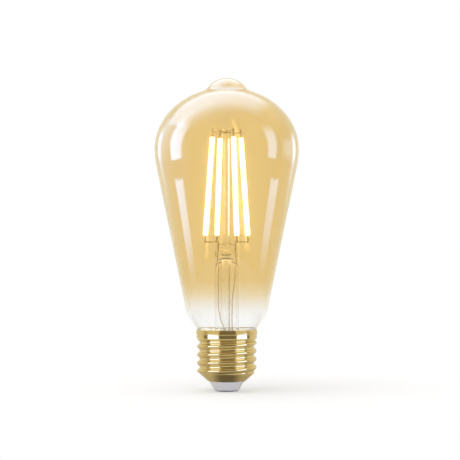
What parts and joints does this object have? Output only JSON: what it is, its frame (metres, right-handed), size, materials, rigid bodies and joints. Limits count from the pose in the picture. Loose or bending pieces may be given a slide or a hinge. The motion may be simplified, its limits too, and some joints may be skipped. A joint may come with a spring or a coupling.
{
  "type": "smart filament light bulb",
  "caption": "Screw-base LED filament lamp: pear-shaped amber glass with a tip dome, filaments standing on a glass stem, wireless driver in a brass cap.",
  "frame": {"origin": "centre of the flat end contact under the cap, on which the lamp stands", "axes": "+Z along the lamp's axis from the end contact to the glass tip; +Y points away from the side seen from the front, +X to its right"},
  "size_m": [0.064, 0.064, 0.139],
  "materials": {
    "amber_glass": "blown clear glass with a transparent amber coat that fades out towards the neck",
    "clear_glass": "clear drawn glass tube and rod",
    "brass_shell": "rolled brass sheet, bright",
    "white_insulator": "moulded white insulator, satin",
    "nickel": "nickel-plated wire and sheet, dull",
    "cement": "cured basing cement, matt",
    "sleeve_plastic": "moulded insulating sleeve",
    "circuit_board": "glass-fibre board with green solder resist",
    "tinned_steel": "tinned steel can",
    "black_resin": "moulded black resin",
    "capacitor_can": "shrink-sleeved aluminium can",
    "film_resin": "dipped resin",
    "resistor_enamel": "baked enamel",
    "copper_wire": "bare copper-clad wire",
    "phosphor": "silicone with yellow phosphor, lit warm white",
    "led_carrier": "ceramic carrier with a row of chips"
  },
  "bodies": {
    "root": {"antenna_wire": "copper_wire", "base_insulator": "white_insulator", "basing_cement": "cement", "bridge_rectifier": "black_resin", "centre_contact": "nickel", "centre_post": "clear_glass", "driver_board": "circuit_board", "driver_chip": "black_resin", "exhaust_tube": "clear_glass", "filament_1_led_strip": "led_carrier", "filament_1_lower_tab": "nickel", "filament_1_phosphor": "phosphor", "filament_1_upper_tab": "nickel", "filament_2_led_strip": "led_carrier", "filament_2_lower_tab": "nickel", "filament_2_phosphor": "phosphor", "filament_2_upper_tab": "nickel", "filament_3_led_strip": "led_carrier", "filament_3_lower_tab": "nickel", "filament_3_phosphor": "phosphor", "filament_3_upper_tab": "nickel", "filament_4_led_strip": "led_carrier", "filament_4_lower_tab": "nickel", "filament_4_phosphor": "phosphor", "filament_4_upper_tab": "nickel", "film_capacitor": "film_resin", "filter_inductor": "black_resin", "fusible_resistor": "resistor_enamel", "glass_envelope": "amber_glass", "glass_stem": "clear_glass", "insulating_sleeve": "sleeve_plastic", "left_cross_lead": "nickel", "left_inner_lead": "nickel", "left_outer_lead": "copper_wire", "live_wire": "copper_wire", "lower_anchor_wire": "nickel", "neutral_wire": "copper_wire", "right_cross_lead": "nickel", "right_inner_lead": "nickel", "right_outer_lead": "copper_wire", "screw_shell": "brass_shell", "smoothing_capacitor": "capacitor_can", "upper_anchor_wire": "nickel", "wireless_module_board": "circuit_board", "wireless_module_shield": "tinned_steel"}
  },
  "joints": []
}
